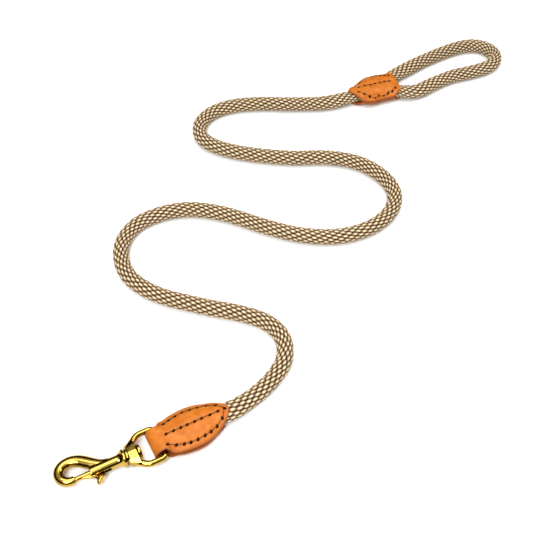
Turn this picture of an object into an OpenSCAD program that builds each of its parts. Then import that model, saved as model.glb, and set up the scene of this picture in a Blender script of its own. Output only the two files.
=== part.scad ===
// Rope training leash with a swivel bolt snap, a leather hook tab and a leather-wrapped hand loop.
// It lies on a surface. +Z is up, +X runs from the snap's bow towards the rope, and the origin is
// the centre of the ring seat, inside the round end of the bow.

/* [Snap hook] */
// Radius of the bow's centre line round the ring seat
bow_r = 7; // [6.8:0.1:7.2]
// Width of the bow, measured across it in its own plane
bow_w = 7.6; // [7.0:0.1:8.0]
// Diameter of the round shank
shank_d = 8.6; // [8.2:0.1:9.0]
// Free length of the bolt between the bow's tip and the shank
mouth_l = 11; // [10.5:0.1:11.5]
// Diameter of the flange that turns against the swivel eye
flange_d = 13.8; // [13:0.1:14]
// Diameter of the sliding bolt
bolt_d = 4; // [3.8:0.1:4.2]
// How far the thumb knob draws the bolt back
bolt_travel = 9; // [8:0.5:9]
// Diameter of the thumb knob's rim
knob_d = 8.8; // [8:0.1:9]

/* [Swivel eye] */
// Clear width between the eye's arms
eye_w = 21; // [21:0.1:22]
// Diameter of the eye's round bar
bar_d = 4.4; // [4.2:0.1:4.6]
// Width of the swivel block where the arms leave it
block_w = 21; // [20:0.5:21]
// Diameter of the swivel rivet's head
rivet_head_d = 11; // [10:0.5:12]
// Diameter of the swivel rivet's stem
rivet_d = 5; // [4.6:0.1:5.2]

/* [Leather] */
// Thickness of the leather
leather_t = 2.3; // [2.1:0.1:2.3]
// Width of the strap where it passes round the eye's bar
neck_w = 20; // [18:0.5:20]
// Distance between stitch holes
stitch_pitch = 5.7; // [5.5:0.1:5.9]
// Diameter of the sewing thread
thread_d = 0.9; // [0.8:0.1:1.0]

/* [Rope] */
// Diameter of the braided rope
rope_d = 13; // [12.6:0.1:13]
// Length of rope between two rings of the modelled tube
ring_gap = 17; // [16:1:24]

/* [Hidden] */
BRASS = "#d8a932";
STEEL = "#b9bcc0";
LEATHER = "#cf7a34";
ROPE = "#d6c3a0";
THREAD = "#5a3420";
fine = 64;                       // sides of a true circle
running = 0.05;                  // radial clearance of a running fit
gap = 0.3;                       // clearance between faces that pass each other

// ---- stations along the snap, all on its turning axis ----
axis_y = -bow_r;                 // the axis passes under the ring seat
tip_x = 2;                       // end face of the bow's tip
shank_x = tip_x + mouth_l;       // front face of the shank
cone_x = 33.5;                   // the shank starts to flare here
flange_x = 36.5;
flange_t = 2.1;
block_x = flange_x + flange_t + gap;
boss_t = 1;
block_l = 8.4;
head_x = block_x + block_l + gap;
head_t = 2.6;
bar_x = 64;                      // centre of the eye's bar, which lies loose in the leather's fold
tab_x = 62;                      // the tab's measures along X start here
bolt_x = tip_x + 0.2;            // nose of the bolt at rest
bolt_l = 16.8;
stem_x = 34.5;                   // inner end of the rivet's stem
block_root_w = 14;               // width of the block next to its boss
slot_w = 3.4;
neck_d = 3;                      // neck of the thumb knob
knob_x = 14;                     // where the knob's own axis leaves the bolt
knob_lean = 34;                  // the knob leans back from a right angle by this many degrees
knob_l = 9;
knob_flat = 0.7;                 // thickness of the knob against its width

// ---- the leathers and the rope, measured from the mid-plane of both leathers ----
inside_h = 4.7;                  // height of the leather's inner face over the rope
fold_r = inside_h;               // inner radius of the loose fold round the eye's bar
tab_l = 56.4;                    // where the tab's point is
under_l = 0.965;                 // length of the lower leaf against the upper one
squash_h = 4.5 / 6.5;            // height and width of the pressed rope against the round one
squash_tab_w = 1.2;
squash_wrap_w = 0.9;
squash_exit_w = 1.2;             // where the rope comes out of the wrap
wrap_at = [404, 253.3, 0];           // middle of the hand-loop wrap
wrap_turn = -10.2;
wrap_tip = -28.5;
wrap_end = 22;

// Half width of the tab, along X from tab_x
TAB_EDGE = [[0, neck_w / 2], [4, neck_w / 2], [5, 11.1], [6.2, 12.4], [8.5, 13.7], [13, 15], [18, 15.9],
            [25, 16.5], [31, 16.2], [37, 15], [42, 13.1], [46, 11], [50, 8.3], [53, 5.7], [55.2, 3],
            [tab_l, 0.6]];
// How far a wrap leaf reaches from its centre line, on the side of the loop's near run and on the other
WRAP_NEAR_EDGE = [[wrap_tip, 0.8], [-27.5, 3], [-25, 6.4], [-22, 9.8], [-18, 13], [-13, 15.6], [-8, 16.8],
                  [-3, 16.8], [3, 16], [8, 16.2], [13, 15.7], [17, 14.6], [20, 13.1], [wrap_end, 11.7]];
WRAP_FAR_EDGE = [[wrap_tip, 0.8], [-27, 2.6], [-25, 4.6], [-21.5, 7.8], [-18, 10.6], [-14, 13.6], [-9, 16.6],
                 [-4, 18.4], [0, 18.8], [4, 17.9], [8, 15.9], [11, 14.7], [14, 14.2], [17, 14.2], [20, 13.4],
                 [wrap_end, 12]];
// Middle and half width of the ropes inside the wrap, as the leaves close round them
WRAP_MID = [[-28, -2.6], [-15, -2], [-6, 3.3], [4, 4], [12, 3.3], [wrap_end, 3]];
WRAP_REACH = [[-30, 9.5], [-15, 10.5], [-6, 14.2], [4, 14.8], [12, 16.8], [16, 20], [wrap_end, 30]];

// The rope from the hook tab to the wrap, then from the wrap round the hand loop and back into it
LEAD = [[78, -7, 0], [118, -7, 0], [131, -5.5, -0.5], [144, -2.5, -0.5], [160, 4, -0.5],
        [175, 15, -0.5], [183, 32, -0.5], [180, 50, -0.5], [167, 67, -0.5], [143, 88, -0.5],
        [116, 115, -0.5], [103, 140, -0.5], [103, 163, -0.5], [113, 183, -0.5], [132, 195, -0.5],
        [157, 196, -0.5], [180, 188, -0.5], [203, 169, -0.5], [226, 141, -0.5], [248, 119, -0.5],
        [274, 104, -0.5], [302, 100, -0.5], [327, 107, -0.5], [343, 124, -0.5], [346, 146, -0.5],
        [337, 171, -0.5], [316, 191, -0.5], [283, 208, -0.5], [251, 231, -0.5], [232, 251, -0.5],
        [225, 269, -0.5], [231, 286, -0.5], [247, 296, -0.5], [268, 297, -0.5], [292, 289, -0.5],
        [318, 275, -0.5], [342, 263, -0.5], [358, 258, -0.5], [374, 256, 0], [390, 254, 0]];
HANDLE = [[390, 254, 0], [405, 251, 0], [415, 247, 0], [426, 240, 0], [440, 234, -0.5],
          [462, 236, -0.5], [483, 237, -0.5], [504, 234, -0.5], [524, 233, -0.5], [536, 238, -0.5],
          [542, 248, -0.5], [540, 260, -0.5], [531, 269, -0.5], [516, 273, -0.5], [494, 273, -0.5],
          [472, 271, -0.5], [451, 268, -0.5], [434, 265, -0.5], [418, 262, 0], [407, 262.6, 0],
          [398, 264, 0]];

// ---- curves ----
// One point of a smooth curve through b and c, with a and d on either side
function bend(a, b, c, d, t) =
    0.5 * (2 * b + (c - a) * t + (2 * a - 5 * b + 4 * c - d) * t * t + (3 * b - a - 3 * c + d) * t * t * t);
function smooth(p, steps) = [
    for (i = [0 : len(p) - 2]) for (j = [0 : steps - 1])
        bend(p[max(i - 1, 0)], p[i], p[i + 1], p[min(i + 2, len(p) - 1)], j / steps),
    p[len(p) - 1]];
// Distance travelled at each point
function travel(p) = [for (i = 0, s = 0; i < len(p);
                           s = s + (i < len(p) - 1 ? norm(p[i + 1] - p[i]) : 0), i = i + 1) s];
// The point at a distance along a dense curve
function column(p, s, k) = [for (i = [0 : len(p) - 1]) [s[i], p[i][k]]];
function unit(v) = v / norm(v);
function fall(x, a, b) = x <= a ? 1 : x >= b ? 0 : 0.5 + 0.5 * cos(180 * (x - a) / (b - a));

// Faces of a closed tube of rings, each of n points
function tube_faces(rings, n) = concat(
    [[for (k = [0 : n - 1]) k]],
    [for (i = [0 : rings - 2]) for (k = [0 : n - 1])
        [i * n + k, (i + 1) * n + k, (i + 1) * n + (k + 1) % n, i * n + (k + 1) % n]],
    [[for (k = [n - 1 : -1 : 0]) (rings - 1) * n + k]]);

// A level tube along p, with half widths w and half heights h at each point
module level_tube(p, w, h, n) {
    last = len(p) - 1;
    points = [for (i = [0 : last]) let (
                  t = unit(p[min(i + 1, last)] - p[max(i - 1, 0)]),
                  side = unit([-t[1], t[0], 0]))
              for (k = [0 : n - 1])
                  p[i] + side * w[i] * cos(360 * k / n) + [0, 0, h[i] * sin(360 * k / n)]];
    polyhedron(points, tube_faces(last + 1, n), convexity = 8);
}

// A rope tube along a route, pressed flat where the squash tables say so
module rope_tube(route, press, spread) {
    dense = smooth(route, 8);
    s = travel(dense);
    total = s[len(s) - 1];
    count = round(total / ring_gap);
    at = [for (i = [0 : count]) total * i / count];
    xs = column(dense, s, 0);
    ys = column(dense, s, 1);
    zs = column(dense, s, 2);
    level_tube([for (d = at) [lookup(d, xs), lookup(d, ys), lookup(d, zs)]],
               [for (d = at) rope_d / 2 * lookup(d, spread(total))],
               [for (d = at) rope_d / 2 * lookup(d, press(total))], 12);
}

// ---- snap hook ----
// Centre line of the bow, from its tip round the ring seat and down into the shank
BOW_BACK = [[0, 14.2], [4.5, 14.1], [9, 12.3], [13, 9.2], [17.5, 5.4], [22, 2.6], [27, 1], [33, 0]];
BOW_LINE = concat([[tip_x, 0, 0]],
                  [for (a = [-90 : -30 : -240]) [bow_r * cos(a), bow_r + bow_r * sin(a), 0]],
                  [for (q = BOW_BACK) [q[0], q[1], 0]]);
// Half widths and half heights along the bow, as shares of its own width
BOW_WIDE = [0.76, 0.8, 0.88, 0.94, 0.98, 1, 1.02, 1.06, 1.1, 1.14, 1.18, 1.14, 1.02, 1.06, 1.12];
BOW_HIGH = [0.76, 0.8, 0.86, 0.92, 0.92, 0.92, 0.94, 0.96, 0.98, 0.98, 0.98, 0.98, 0.98, 0.98, 0.98];

module on_axis() translate([0, axis_y, 0]) children();
module rod_x(d, x0, x1) translate([x0, 0, 0]) rotate([0, 90, 0]) cylinder(d = d, h = x1 - x0, $fn = fine);
// A turned shape: profile points are [distance along X, radius]
module turned_x(profile) rotate([0, 90, 0]) rotate_extrude($fn = fine) polygon([for (q = profile) [q[1], q[0]]]);

module bow() {
    steps = 3;
    line = smooth(BOW_LINE, steps);
    wide = smooth(BOW_WIDE, steps);
    high = smooth(BOW_HIGH, steps);
    level_tube(line, wide * bow_w / 2, high * bow_w / 2, 16);
}

module hook_body() {
    flange_edge = 0.6;
    color(BRASS) on_axis() difference() {
        union() {
            bow();
            turned_x([[shank_x, 0], [shank_x, shank_d / 2 - 0.4], [shank_x + 0.4, shank_d / 2],
                      [cone_x, shank_d / 2], [flange_x, flange_d / 2 - flange_edge],
                      [flange_x + flange_edge, flange_d / 2],
                      [flange_x + flange_t - flange_edge, flange_d / 2],
                      [flange_x + flange_t, flange_d / 2 - flange_edge], [flange_x + flange_t, 0]]);
        }
        rod_x(bolt_d + 2 * running, shank_x - 1, stem_x);
        rod_x(rivet_d, stem_x - 0.01, flange_x + flange_t + 1);
        slot_end = knob_x + 4 + bolt_travel;
        translate([shank_x - 1, -bow_w, -slot_w / 2]) cube([slot_end - shank_x + 1, bow_w, slot_w]);
    }
}

// The bolt, its web and its thumb knob are one casting
module bolt() {
    web_t = 2.4;
    rim_t = 2.4;
    color(BRASS) on_axis() {
        union() {
            turned_x([[bolt_x, 0], [bolt_x, bolt_d / 2 - 0.3], [bolt_x + 0.3, bolt_d / 2],
                      [bolt_x + bolt_l, bolt_d / 2], [bolt_x + bolt_l, 0]]);
            translate([0, 0, -web_t / 2]) linear_extrude(web_t)
                polygon([[5, -1.5], [7, -2], [shank_x - 0.5, -3.7], [knob_x + 2, -3.7], [knob_x + 1, -1.5]]);
            translate([knob_x, -1.5, 0]) rotate([0, 0, -90 + knob_lean]) scale([1, 1, knob_flat])
                turned_x([[0, 0], [0, neck_d / 2], [knob_l * 0.4, neck_d / 2], [knob_l * 0.58, neck_d * 0.7],
                          [knob_l - rim_t - 0.3, knob_d / 2 - 1], [knob_l - rim_t + 0.5, knob_d / 2 - 0.2],
                          [knob_l - rim_t + 1, knob_d / 2], [knob_l - 0.9, knob_d / 2 - 0.2],
                          [knob_l - 0.3, knob_d / 2 - 0.9], [knob_l, knob_d / 2 - 2], [knob_l + 0.1, 0]]);
        }
    }
}

module bolt_spring() {
    turns = 7;
    wire_r = 0.28;
    coil_r = bolt_d / 2 - 0.45;
    x0 = bolt_x + bolt_l + wire_r;
    x1 = stem_x - wire_r;
    per_turn = 12;
    count = turns * per_turn;
    sides = 6;
    points = [for (i = [0 : count]) let (a = 360 * i / per_turn, x = x0 + (x1 - x0) * i / count)
              for (k = [0 : sides - 1]) let (r = coil_r + wire_r * cos(360 * k / sides))
                  [x - wire_r * sin(360 * k / sides), r * cos(a), r * sin(a)]];
    color(STEEL) on_axis() polyhedron(points, tube_faces(count + 1, sides), convexity = 10);
}

module swivel_rivet() {
    edge = 0.7;
    color(BRASS) on_axis()
        turned_x([[stem_x, 0], [stem_x, rivet_d / 2], [head_x, rivet_d / 2], [head_x, rivet_head_d / 2 - edge],
                  [head_x + edge, rivet_head_d / 2], [head_x + head_t - edge, rivet_head_d / 2],
                  [head_x + head_t, rivet_head_d / 2 - edge], [head_x + head_t, 0]]);
}

// ---- swivel eye ----
module swivel_eye() {
    arm_y = eye_w / 2 + bar_d / 2;
    corner_r = 3;
    // Along X from the block's boss, and in from the straight part of the arm
    flare = [[2.6, 7.6], [5.1, 5.9], [7.6, 4], [10.1, 2], [12.6, 0.6], [15.1, 0]];
    half = [[0, 5.2], [0.55 * block_root_w / 2, 4.6], [block_root_w / 2, 2.6]];
    outline = concat(half, [for (i = [2 : -1 : 0]) [half[i][0], -half[i][1]]],
                     [for (i = [1 : 2]) [-half[i][0], -half[i][1]]],
                     [for (i = [2 : -1 : 1]) [-half[i][0], half[i][1]]]);
    // The near arm, from the block out to the middle of the bar; the far arm mirrors it
    arm = concat([for (q = flare) [block_x + q[0], arm_y - q[1], 0]],
                 [for (a = [90 : -15 : 0])
                     [bar_x - corner_r + corner_r * cos(a), arm_y - corner_r + corner_r * sin(a), 0]],
                 [[bar_x, 4, 0]]);
    stout = [1.1, 1.12, 1.1, 1.06, 1.02, 1, 1, 1, 1, 1, 1, 1, 1, 1];
    last = len(arm) - 1;
    ring = concat(arm, [for (i = [last : -1 : 0]) [arm[i][0], -arm[i][1], 0]]);
    thick = concat(stout, [for (i = [last : -1 : 0]) stout[i]]) * bar_d / 2;
    color(BRASS) on_axis() difference() {
        union() {
            rod_x(12.6, block_x, block_x + boss_t + 0.5);
            translate([block_x + boss_t, 0, 0]) rotate([90, 0, 90])
                linear_extrude(block_l - boss_t, scale = [block_w / block_root_w, 1]) polygon(outline);
            level_tube(ring, thick, thick, 16);
            translate([bar_x, corner_r - arm_y, 0]) rotate([-90, 0, 0])
                cylinder(d = bar_d + 0.2, h = 2 * (arm_y - corner_r), $fn = fine);
        }
        rod_x(rivet_d + 2 * running, block_x - 1, block_x + block_l + 1);
    }
}

// ---- leathers ----
// Share of the crown's height left at a distance from the middle, where h is the half width
function dome(y, h, power) = max(0, 1 - pow(abs(y) / h, power));
// Height of the tab's inner face, along X from tab_x and by distance from the centre line
function tab_inner(x, y) = let (edge = 0.12 + (fold_r - 0.12) * fall(x, 2, 11))
    edge + (inside_h - edge) * dome(y, max(13.5, lookup(x, TAB_EDGE)), 2);
// Height of a wrap leaf's inner face
function wrap_inner(u, v) =
    0.12 + (inside_h - 0.12) * dome(v - lookup(u, WRAP_MID), lookup(u, WRAP_REACH), 4);
function wrap_edge(u, v) = lookup(u, v < 0 ? WRAP_NEAR_EDGE : WRAP_FAR_EDGE);

COLUMNS = [-1, -0.9, -0.75, -0.55, -0.3, 0, 0.3, 0.55, 0.75, 0.9, 1];
// Faces of a closed slab whose outer and inner grids follow each other, row by row
function slab_faces(rows, cols) = let (inner = rows * cols) concat(
    [for (i = [0 : rows - 2]) for (k = [0 : cols - 2]) each [
        [i * cols + k, i * cols + k + 1, (i + 1) * cols + k + 1],
        [i * cols + k, (i + 1) * cols + k + 1, (i + 1) * cols + k],
        [inner + i * cols + k, inner + (i + 1) * cols + k + 1, inner + i * cols + k + 1],
        [inner + i * cols + k, inner + (i + 1) * cols + k, inner + (i + 1) * cols + k + 1]]],
    [for (i = [0 : rows - 2]) each [
        [i * cols, (i + 1) * cols, inner + (i + 1) * cols, inner + i * cols],
        [(i + 1) * cols - 1, inner + (i + 1) * cols - 1, inner + (i + 2) * cols - 1, (i + 2) * cols - 1]]],
    [for (k = [0 : cols - 2]) each [
        [k, inner + k, inner + k + 1, k + 1],
        [(rows - 1) * cols + k, (rows - 1) * cols + k + 1,
         inner + (rows - 1) * cols + k + 1, inner + (rows - 1) * cols + k]]]);

// One strap, folded round the eye's bar, with the pressed rope end between its two leaves
module hook_tab() {
    stations = [tab_l, 55.6, 54, 52, 49, 46, 42, 38, 34, 30, 26, 22, 18, 15, 12.5, 10.5, 8.5, 7, 6, 5, 4, 3,
                bar_x - tab_x];
    last = len(stations) - 1;
    function leaf_row(x, side, add) = [for (c = COLUMNS) let (y = c * lookup(x, TAB_EDGE))
        [x * (side < 0 ? 1 - (1 - under_l) * x / tab_l : 1), y, side * (tab_inner(x, y) + add)]];
    function fold_row(a, r) = [for (c = COLUMNS) [bar_x - tab_x + r * cos(a), c * neck_w / 2, r * sin(a)]];
    folds = [for (a = [108 : 18 : 252]) a];
    function grid(add) = concat(
        [for (x = stations) each leaf_row(x, 1, add)],
        [for (a = folds) each fold_row(a, fold_r + add)],
        [for (i = [last : -1 : 0]) each leaf_row(stations[i], -1, add)]);
    rows = 2 * (last + 1) + len(folds);
    color(LEATHER) translate([tab_x, axis_y, 0])
        polyhedron(concat(grid(leather_t), grid(0)), slab_faces(rows, len(COLUMNS)), convexity = 10);
}

module in_wrap() translate(wrap_at) rotate([0, 0, wrap_turn]) children();
module wrap_leaf(side) {
    stations = [wrap_tip, -28, -27, -25, -23, -20.5, -18, -15, -12, -8, -4, 0, 4, 8, 11, 14, 17, 19.5, wrap_end];
    function grid(add) = [for (u = stations) for (c = COLUMNS) let (v = c * wrap_edge(u, c))
        [u, v, wrap_inner(u, v) + add]];
    color(LEATHER) in_wrap() mirror([0, 0, side > 0 ? 0 : 1])
        polyhedron(concat(grid(leather_t), grid(0)),
                   [for (f = slab_faces(len(stations), len(COLUMNS))) [for (i = [len(f) - 1 : -1 : 0]) f[i]]],
                   convexity = 10);
}
module wrap_upper() wrap_leaf(1);
module wrap_lower() wrap_leaf(-1);

// ---- sewing threads ----
// A running thread through holes of [x, y, top]: up at one hole, along, down at the next
module running_thread(holes) {
    count = len(holes);
    path = [for (i = [0 : count - 1]) let (h = holes[i], low = -(h[2] - 0.5), high = h[2] + 0.1)
            each (i % 2 == 0 ? [[h[0], h[1], low], [h[0], h[1], high]] : [[h[0], h[1], high], [h[0], h[1], low]])];
    last = len(path) - 1;
    sides = 6;
    points = [for (i = [0 : last]) let (
                  before = i == 0 ? path[1] - path[0] : path[i] - path[i - 1],
                  after = i == last ? path[last] - path[last - 1] : path[i + 1] - path[i],
                  along = unit(unit(before) + unit(after)),
                  hole = floor(i / 2),
                  row = holes[min(hole + 1, count - 1)] - holes[max(hole - 1, 0)],
                  across = unit([-row[1], row[0], 0]),
                  stretch = 1 / max(0.6, along * unit(after)))
              for (k = [0 : sides - 1])
                  path[i] + thread_d / 2 * (across * cos(60 * k) + cross(along, across) * stretch * sin(60 * k))];
    faces = [for (f = tube_faces(last + 1, sides)) [for (i = [len(f) - 1 : -1 : 0]) f[i]]];
    color(THREAD) polyhedron(points, faces, convexity = 20);
}

TAB_ROW_X = [for (i = [0 : 7]) 9.7 + i * stitch_pitch * 0.985];
edge_in = 4;                     // the stitch rows run this far inside the leather's edge
function tab_hole(x, side) = let (y = side * (lookup(x, TAB_EDGE) - edge_in * (x < 12 ? 0.85 : 1)))
    [x, y, tab_inner(x, y) + leather_t];
module tab_edge_thread() translate([tab_x, axis_y, 0])
    running_thread(concat([for (x = TAB_ROW_X) tab_hole(x, 1)], [[53.4, 0, inside_h + leather_t]],
                          [for (i = [len(TAB_ROW_X) - 1 : -1 : 0]) tab_hole(TAB_ROW_X[i], -1)]));
module tab_centre_thread() translate([tab_x, axis_y, 0])
    running_thread([for (i = [0 : 6]) let (x = 10.5 + i * stitch_pitch)
                    [x, 0, tab_inner(x, 0) + leather_t]]);

module wrap_row(side) {
    us = side == 0 ? [-18, -11.5, -6, 0, 5.5, 11, 16] : [-17.5, -12, -6.5, -1, 4.5, 10, 14.5];
    in_wrap() running_thread([for (u = us) let (v = side == 0 ? 2 : side * (wrap_edge(u, side) - 3.4))
                              [u, v, wrap_inner(u, v) + leather_t]]);
}
module wrap_near_thread() wrap_row(-1);
module wrap_centre_thread() wrap_row(0);
module wrap_far_thread() wrap_row(1);

// ---- rope ----
module rope_lead() color(ROPE)
    rope_tube(LEAD,
        function(total) [[0, squash_h], [38, squash_h], [60, 1],
                         [total - 40, 1], [total - 14, squash_h], [total, squash_h]],
        function(total) [[0, squash_tab_w], [42, squash_tab_w], [60, 1],
                         [total - 50, 1], [total - 24, squash_exit_w], [total, squash_wrap_w]]);
module rope_handle() color(ROPE)
    rope_tube(HANDLE,
        function(total) [[0, squash_h], [40, squash_h], [70, 1],
                         [total - 68, 1], [total - 42, squash_h], [total, squash_h]],
        function(total) [[0, squash_wrap_w], [20, squash_wrap_w], [40, squash_exit_w], [56, squash_exit_w],
                         [84, 1], [total - 76, 1], [total - 52, squash_exit_w], [total - 38, squash_exit_w],
                         [total - 24, squash_wrap_w], [total, squash_wrap_w]]);

hook_body();
bolt();
bolt_spring();
swivel_rivet();
swivel_eye();
hook_tab();
tab_edge_thread();
tab_centre_thread();
rope_lead();
rope_handle();
wrap_upper();
wrap_lower();
wrap_near_thread();
wrap_centre_thread();
wrap_far_thread();
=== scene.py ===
# %% [markdown]
# # A rope training leash with a brass snap
# The leash is one thick braided rope. At one end it is pressed into a folded leather tab that
# hangs on the eye of a brass bolt snap, and at the other it turns back on itself and is sewn
# into a leather wrap, which makes the hand loop. The moving parts and all the sizes are already
# fixed in a CAD model, so the first thing to do is to load it. Everything below is in metres.

# %% Load the frame
import math
import bpy
import numpy as np
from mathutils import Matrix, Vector


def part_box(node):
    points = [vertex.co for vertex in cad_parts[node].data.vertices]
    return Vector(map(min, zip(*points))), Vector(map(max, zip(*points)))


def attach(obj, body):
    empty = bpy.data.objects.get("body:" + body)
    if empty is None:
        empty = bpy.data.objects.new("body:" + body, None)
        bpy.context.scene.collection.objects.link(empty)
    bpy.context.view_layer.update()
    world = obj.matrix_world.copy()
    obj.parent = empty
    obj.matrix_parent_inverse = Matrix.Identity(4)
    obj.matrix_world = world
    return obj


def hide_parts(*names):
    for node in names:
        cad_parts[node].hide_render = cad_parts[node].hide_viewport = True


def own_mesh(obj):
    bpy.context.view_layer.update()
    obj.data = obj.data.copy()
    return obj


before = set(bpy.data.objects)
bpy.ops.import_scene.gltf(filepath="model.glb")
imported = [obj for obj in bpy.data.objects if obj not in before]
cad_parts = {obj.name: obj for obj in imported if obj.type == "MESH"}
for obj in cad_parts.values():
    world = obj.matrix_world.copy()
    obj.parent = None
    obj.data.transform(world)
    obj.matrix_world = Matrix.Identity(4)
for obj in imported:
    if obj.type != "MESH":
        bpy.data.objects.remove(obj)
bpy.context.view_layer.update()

MM = 0.001
AXIS_Y = -7.0          # the snap's turning axis, in millimetres
TAB_X = 62.0           # the tab's measures along X start here
BAR_X = 64.0           # the eye's bar, which lies loose in the leather's fold
print("nodes:", len(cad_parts))

# %% [markdown]
# ## The camera
# The leash lies on a table and is seen from above its hook, looking down at about fifty degrees.
# The rope runs away from the eye, so it gets thinner towards the hand loop. A camera is placed by
# its position and its turn: the first angle tips it down, the last one turns it about the vertical.

# %% The camera
camera_data = bpy.data.cameras.new("camera")
camera_data.lens = 61.26
camera_data.sensor_width = 36.0
camera_data.clip_start = 0.01
camera_data.dof.use_dof = False
camera = bpy.data.objects.new("camera", camera_data)
camera.location = (-0.0160, -0.3233, 0.563)
camera.rotation_euler = (math.radians(40.4), 0.0, math.radians(-27.5))
bpy.context.scene.collection.objects.link(camera)
bpy.context.scene.camera = camera
print("camera at", tuple(camera.location))

# %% [markdown]
# ## Lines and tubes
# Most of the leash is something long that was bent: rope, wire, thread and even the bow of the
# snap. All of them can be made in one way: a smooth line through a few points, and a ring of
# points carried along it. The rings can be wide or flat, and every point can be pushed out or in,
# which is how the braid of the rope will be made later.

# %% A smooth line through a few points
def smooth_line(points, steps=8):
    points = np.array(points, float)
    out = []
    for i in range(len(points) - 1):
        a, b = points[max(i - 1, 0)], points[i]
        c, d = points[i + 1], points[min(i + 2, len(points) - 1)]
        for j in range(steps):
            t = j / steps
            out.append(0.5 * (2 * b + (c - a) * t + (2 * a - 5 * b + 4 * c - d) * t**2
                              + (3 * b - a - 3 * c + d) * t**3))
    out.append(points[-1])
    return np.array(out)


def travelled(line):
    return np.r_[0, np.cumsum(np.linalg.norm(np.diff(line, axis=0), axis=1))]


def even_line(line, gap):
    s = travelled(line)
    count = max(2, int(round(s[-1] / gap)))
    at = np.linspace(0, s[-1], count + 1)
    return np.stack([np.interp(at, s, line[:, k]) for k in range(3)], 1), at


# %% Rings carried along a line
def unit(v):
    return v / np.maximum(np.linalg.norm(v, axis=-1, keepdims=True), 1e-12)


def level_frames(line):
    along = unit(np.gradient(line, axis=0))
    side = unit(np.stack([-along[:, 1], along[:, 0], np.zeros(len(along))], 1))
    return along, side, np.cross(along, side)


def turning_frames(line):
    along = unit(np.gradient(line, axis=0))
    side = np.zeros_like(along)
    start = np.array([0.0, 0, 1]) if abs(along[0, 2]) < 0.9 else np.array([1.0, 0, 0])
    side[0] = unit(np.cross(start, along[0]))
    for i in range(1, len(line)):
        side[i] = unit(side[i - 1] - along[i] * np.dot(side[i - 1], along[i]))
    return along, side, np.cross(along, side)


def ring_tube(line, wide, high, around, frames=level_frames):
    """A closed tube: its points by ring, which way is out at each, the angles round it, and its faces."""
    along, side, up = frames(line)
    wide = np.broadcast_to(wide, (len(line),))
    high = np.broadcast_to(high, (len(line),))
    turn = np.linspace(0, 2 * np.pi, around, endpoint=False)
    out = (side[:, None] * np.cos(turn)[None, :, None] * wide[:, None, None]
           + up[:, None] * np.sin(turn)[None, :, None] * high[:, None, None])
    points = line[:, None] + out
    return points, unit(out), turn, tube_faces(len(line), around)


def tube_faces(rings, around):
    i, k = np.meshgrid(np.arange(rings - 1), np.arange(around), indexing="ij")
    n = (k + 1) % around
    quads = np.stack([i * around + k, i * around + n, (i + 1) * around + n, (i + 1) * around + k], -1)
    faces = [tuple(int(v) for v in f) for f in quads.reshape(-1, 4)]
    faces.append(tuple(range(around - 1, -1, -1)))
    faces.append(tuple((rings - 1) * around + k for k in range(around)))
    return faces


# %% From points to a Blender object
def make_piece(name, points_mm, faces, smooth=True):
    mesh = bpy.data.meshes.new(name)
    mesh.from_pydata((np.asarray(points_mm).reshape(-1, 3) * MM).tolist(), [], faces)
    mesh.validate()
    mesh.update()
    mesh.polygons.foreach_set("use_smooth", [smooth] * len(mesh.polygons))
    piece = bpy.data.objects.new(name, mesh)
    bpy.context.scene.collection.objects.link(piece)
    return piece


def paint_value(piece, name, values):
    attribute = piece.data.attributes.new(name, "FLOAT", "POINT")
    attribute.data.foreach_set("value", np.asarray(values, np.float32).ravel())


# %% [markdown]
# ## The rope
# The rope is a thick solid braid, thirteen millimetres across. Its surface is a pattern of long
# oval bumps, one for each place where a bundle of yarn comes to the surface. The bumps lie in 22
# rows along the rope, one bump every 8.2 mm in a row, and each row starts a little later than the
# one beside it. Between the ends of two bumps in a row there is a small dark hole. Near the wrap
# and round the hand loop the bumps are closer together, by about an eighth.
# A picture of a braid would look flat from the side, so the bumps are real: the tube's points are
# pushed out by the height of the nearest bump, and the same height is kept on the mesh, so that
# the material can paint shade down the bumps' sides and into the holes.

# %% The rope's route
LEAD = [(78, -7, 0), (118, -7, 0), (131, -5.5, -0.5), (144, -2.5, -0.5), (160, 4, -0.5),
        (175, 15, -0.5), (183, 32, -0.5), (180, 50, -0.5), (167, 67, -0.5), (143, 88, -0.5),
        (116, 115, -0.5), (103, 140, -0.5), (103, 163, -0.5), (113, 183, -0.5), (132, 195, -0.5),
        (157, 196, -0.5), (180, 188, -0.5), (203, 169, -0.5), (226, 141, -0.5), (248, 119, -0.5),
        (274, 104, -0.5), (302, 100, -0.5), (327, 107, -0.5), (343, 124, -0.5), (346, 146, -0.5),
        (337, 171, -0.5), (316, 191, -0.5), (283, 208, -0.5), (251, 231, -0.5), (232, 251, -0.5),
        (225, 269, -0.5), (231, 286, -0.5), (247, 296, -0.5), (268, 297, -0.5), (292, 289, -0.5),
        (318, 275, -0.5), (342, 263, -0.5), (358, 258, -0.5), (374, 256, 0), (390, 254, 0)]
HANDLE = [(390, 254, 0), (405, 251, 0), (415, 247, 0), (426, 240, 0), (440, 234, -0.5),
          (462, 236, -0.5), (483, 237, -0.5), (504, 234, -0.5), (524, 233, -0.5), (536, 238, -0.5),
          (542, 248, -0.5), (540, 260, -0.5), (531, 269, -0.5), (516, 273, -0.5), (494, 273, -0.5),
          (472, 271, -0.5), (451, 268, -0.5), (434, 265, -0.5), (418, 262, 0), (407, 262.6, 0),
          (398, 264, 0)]
ROPE_R = 6.5
RING_GAP = 0.6         # distance between two rings of the rope's surface
lead_line, lead_at = even_line(smooth_line(LEAD), RING_GAP)
handle_line, handle_at = even_line(smooth_line(HANDLE), RING_GAP)
print("rope lengths:", round(lead_at[-1]), round(handle_at[-1]), "mm")

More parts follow.
